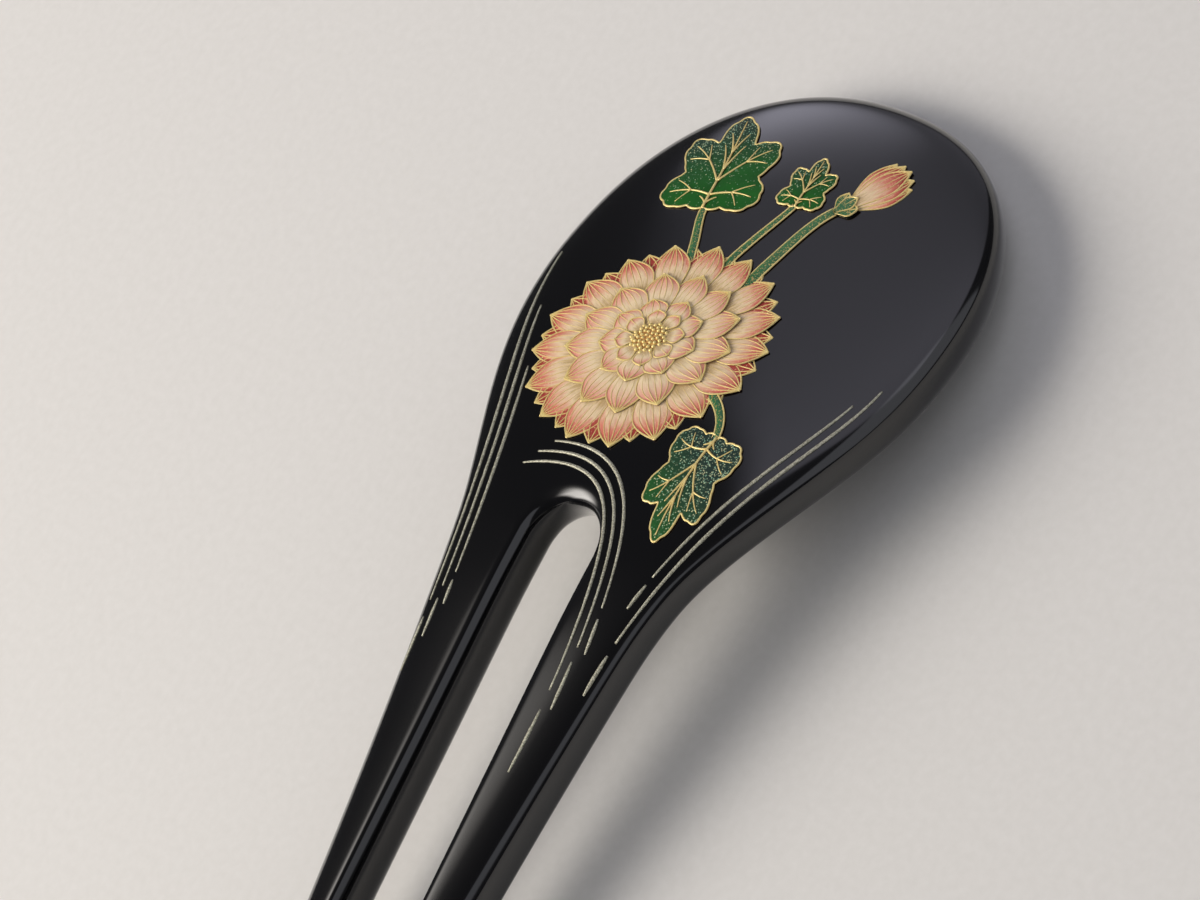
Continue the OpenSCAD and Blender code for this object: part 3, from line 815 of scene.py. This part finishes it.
def finish_petals(name, sizes, places, finish, slot, nodes, bloom=True):
    """Makes a petal and its gold, sets their copies, moves those of the bloom into it, lays
    them on the face, and gives them their finish."""
    made = []
    for prototype, piece_name in zip(make_petal(sizes), (name, name + "_gold")):
        piece = set_copies(piece_name, prototype, places)
        bpy.data.objects.remove(prototype)
        if bloom:
            set_in_bloom(piece)
        lay_on_face(piece)
        made.append(piece)
    in_place(made[0], finish, slot, *nodes)
    in_place(made[1], gold, "gold")


# Coloured urushi, built up and polished back to a satin: shaded along each petal from its
# foot through cream to a rose tip, with streaks as fine as a brush leaves, some twenty across
# the petal, and a faint glitter of gold dust with its grains drawn 0.17 mm apart. A foot
# colour darker than the cream is painted shade where the row above lies over the petal
def petal_finish(name, foot, pale, middle, tip, start, end):
    """A petal's lacquer in four colours, and where along the petal they start and end."""
    finish, tree, shader, mm = new_finish(name, Roughness=0.5, Specular_IOR_Level=0.25)
    uv = add(tree, "UVMap", uv_map="UVMap")
    parts = add(tree, "SeparateXYZ", Vector=uv)
    streaks = add(tree, "VectorMath", operation="MULTIPLY", Vector=uv, Vector_001=(22, 1.6, 0))
    streaks = add(tree, "VectorMath", operation="ADD", Vector=streaks, Vector_001=mm)
    streak = add(tree, "TexNoise", Vector=streaks, Scale=1.0, Detail=2.0)
    streak = add(tree, "Math", operation="MULTIPLY_ADD", Value=streak, Value_001=0.4,
                 Value_002=-0.2)
    # The sides are shaded earlier than the middle
    from_side = add(tree, "Math", operation="PINGPONG", Value=parts.outputs["X"], Value_001=0.5)
    aside = add(tree, "MapRange", Value=from_side, From_Min=0.2, From_Max=0.0, To_Max=0.16)
    shade = add(tree, "Math", operation="ADD", Value=parts.outputs["Y"], Value_001=streak)
    shade = add(tree, "Math", operation="ADD", Value=shade, Value_001=aside)
    shade = add(tree, "MapRange", Value=shade, From_Min=start, From_Max=end)
    ramp = add(tree, "ValToRGB", Fac=shade)
    # The foot's colour holds the painted shade under the row above, where a finish has it
    ramp.color_ramp.elements[0].color = linear(foot)
    ramp.color_ramp.elements[1].color = linear(tip)
    ramp.color_ramp.elements.new(0.25).color = linear(pale)
    ramp.color_ramp.elements.new(0.65).color = linear(middle)
    dust = add(tree, "TexVoronoi", Vector=mm, Scale=6.0)
    round_grain = add(tree, "MapRange", Value=dust.outputs["Distance"], From_Min=0.5,
                      From_Max=0.2)
    draw = add(tree, "SeparateColor", Color=dust.outputs["Color"]).outputs["Red"]
    bright = add(tree, "MapRange", Value=draw, From_Min=0.6, From_Max=1.0, To_Max=0.75)
    bright = add(tree, "Math", operation="MULTIPLY", Value=bright, Value_001=round_grain)
    add(tree, shader,
        Base_Color=add(tree, "Mix", data_type="RGBA", Factor_Float=bright,
                       A_Color=ramp.outputs["Color"], B_Color=linear("F2DDA8")),
        Normal=add(tree, "Bump", Height=round_grain, Distance=0.015 * MM, Strength=0.4))
    return finish


# The darker olive tan at the foot of these first two is painted shade where the row above lies over
# the petals
rose = petal_finish("cream_to_rose_urushi", foot="C4A674", pale="ECD2AC", middle="D67E6A",
                    tip="A62B2E", start=0.27, end=0.88)
cream = petal_finish("cream_urushi_blushed", foot="C6AA7C", pale="EFD8B2", middle="E09A86",
                     tip="B03A3A", start=0.2, end=0.96)
under = petal_finish("deep_rose_urushi", foot="B25148", pale="AE493F", middle="942C26",
                     tip="721A14", start=0.4, end=1.1)

# Each row: number of petals, turn as a share of the step between two, distance of a petal's
# foot and tip from the bloom's middle, its width, crown, height at the foot, rise to the tip
# and veins, then its finish, its slot, and the nodes that the row stands for
Row = namedtuple("Row", "petals offset foot tip width crown low rise veins finish slot nodes")
BLOOM_ROWS = {
    "petals_under": Row(17, 0.0, 6.0, 14.2, 4.4, 0.12, -0.02, 0.0, THREE_VEINS, under,
                        "rose_lacquer", ()),
    "petals_outer": Row(17, 0.5, 5.5, 14.6, 4.7, 0.17, 0.1, 0.02, FIVE_VEINS, rose,
                        "rose_lacquer", ("outer_petals",)),
    "petals_middle": Row(13, 0.5, 3.0, 10.2, 4.4, 0.18, 0.4, 0.0, FIVE_VEINS, cream,
                         "cream_lacquer", ("middle_petals",)),
    "petals_inner": Row(9, 0.5, 1.9, 6.1, 3.6, 0.17, 0.62, 0.02, THREE_VEINS, cream,
                        "cream_lacquer", ("inner_petals",)),
    "petals_heart": Row(8, 0.0, 1.7, 4.1, 2.2, 0.08, 0.76, 0.04, (0,), cream,
                        "cream_lacquer", ())}
# Each petal leans a little on its neighbour, and no two are quite alike in turn and size
PETAL_LEAN = math.radians(-2.6)
UNEVEN_TURN, SMALLEST = 0.02, 0.965
for name, row in BLOOM_ROWS.items():
    places = []
    for i in range(row.petals):
        turn = 2 * math.pi * (i + row.offset) / row.petals - math.pi / 2
        turn += rng.uniform(-UNEVEN_TURN, UNEVEN_TURN)
        size = rng.uniform(SMALLEST, 1.0)
        places.append(((-row.foot * math.sin(turn), row.foot * math.cos(turn), row.low), turn,
                       PETAL_LEAN, (size, size, 1)))
    sizes = Petal(row.tip - row.foot, row.width, row.crown, row.rise, row.veins)
    finish_petals(name, sizes, places, row.finish, row.slot, row.nodes)


# Centre of the bloom
# A boss of close golden florets: small grains of lacquer set in a spiral on a low dome and
# covered with gold. The dome is bare ground lacquer, an amber brown between the grains.
CENTRE_R = 2.2
DOME_H, DOME_AT = 0.5, 0.45
FLORETS = 52
GOLDEN_ANGLE = math.radians(137.508)
# Height of the florets and how much of it the dome adds in the middle, then the radius of
# the middle one and how much larger those at the rim are
FLORETS_LOW, FLORETS_RISE = 0.52, 0.38
FLORET_R, FLORET_GROWS = 0.19, 0.07

# Red-brown ground lacquer: satin, with what gold dust fell between the grains, drawn at
# 0.17 mm
ground, tree, shader, mm = new_finish("red_brown_ground_urushi", Roughness=0.45)
fallen = add(tree, "MapRange", Value=add(tree, "TexNoise", Vector=mm, Scale=6.0, Detail=1.0),
             From_Min=0.4, From_Max=0.6)
add(tree, shader, Base_Color=add(tree, "Mix", data_type="RGBA", Factor_Float=fallen,
                                 A_Color=linear("9A602C"), B_Color=linear("DCAC60")))

bpy.ops.object.select_all(action="DESELECT")
bpy.ops.mesh.primitive_uv_sphere_add(segments=40, ring_count=20, radius=1)
dome = bpy.context.object
dome.name = "centre_boss"
dome.scale = (CENTRE_R, CENTRE_R, DOME_H)
dome.location = (0, 0, DOME_AT)
bpy.ops.object.transform_apply(location=True, rotation=True, scale=True)
bpy.ops.object.shade_smooth()
set_in_bloom(dome)
lay_on_face(dome)
in_place(dome, ground, "gold", "bloom_centre")

bpy.ops.object.select_all(action="DESELECT")
bpy.ops.mesh.primitive_ico_sphere_add(subdivisions=2, radius=1)
floret = bpy.context.object
bpy.ops.object.shade_smooth()
places = []
for k in range(FLORETS):
    out = math.sqrt((k + 0.5) / FLORETS)
    turn = k * GOLDEN_ANGLE
    height = FLORETS_LOW + FLORETS_RISE * math.sqrt(1 - 0.85 * out ** 2)
    places.append(((CENTRE_R * out * math.cos(turn), CENTRE_R * out * math.sin(turn), height),
                   0, 0, [FLORET_R + FLORET_GROWS * out] * 3))
grains = set_copies("centre_florets", floret, places)
bpy.data.objects.remove(floret)
set_in_bloom(grains)
lay_on_face(grains)
in_place(grains, gold, "gold")


# Bud
# A half-open bud: five petals like those of the bloom in a closed fan, and a cup of three
# green sepals at its foot, edged with gold.
BUD_FOOT = (4.75, 45.1)
CUP_FOOT = (4.05, 44.2)
BUD_TURN = math.radians(-29)
BUD_PETAL = Petal(length=7.5, width=3.1, crown=0.16, rise=0.0, veins=THREE_VEINS)
SEPAL = Petal(length=2.6, width=1.7, crown=0.1, rise=0.0, veins=(0,))
# Petals of the bud and sepals of the cup: angle from the middle one, height, and scale
BUD_FAN = ((-19, 0.0, 0.93), (19, 0.0, 0.93), (-10, 0.1, 0.98), (10, 0.1, 0.98), (0, 0.2, 1.0))
CUP_FAN = ((-34, 0.24, 0.95), (34, 0.24, 0.95), (0, 0.34, 1.0))


def fan_out(foot, fan):
    """Places of the petals of a fan that share a foot and point along the bud."""
    return [((*foot, height), BUD_TURN + math.radians(aside), 0, (scale, scale, 1))
            for aside, height, scale in fan]


# The same coloured urushi, with the rose reaching further down, and the same darker olive
# foot as painted shade where the petals lie over one another
closed = petal_finish("rose_urushi_bud", foot="C4A674", pale="ECD2AC", middle="D67E6A",
                      tip="A62B2E", start=0.1, end=0.75)
finish_petals("bud_petals", BUD_PETAL, fan_out(BUD_FOOT, BUD_FAN), closed, "rose_lacquer",
              ("bud",), bloom=False)
finish_petals("bud_sepals", SEPAL, fan_out(CUP_FOOT, CUP_FAN), green_stem, "green_lacquer",
              ("bud_cup",), bloom=False)


# The corners of the box of the carved model and of the finished one, in metres
size = {"cad": [list(corner) for corner in cad_box],
        "visual": [list(corner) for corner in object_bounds()]}
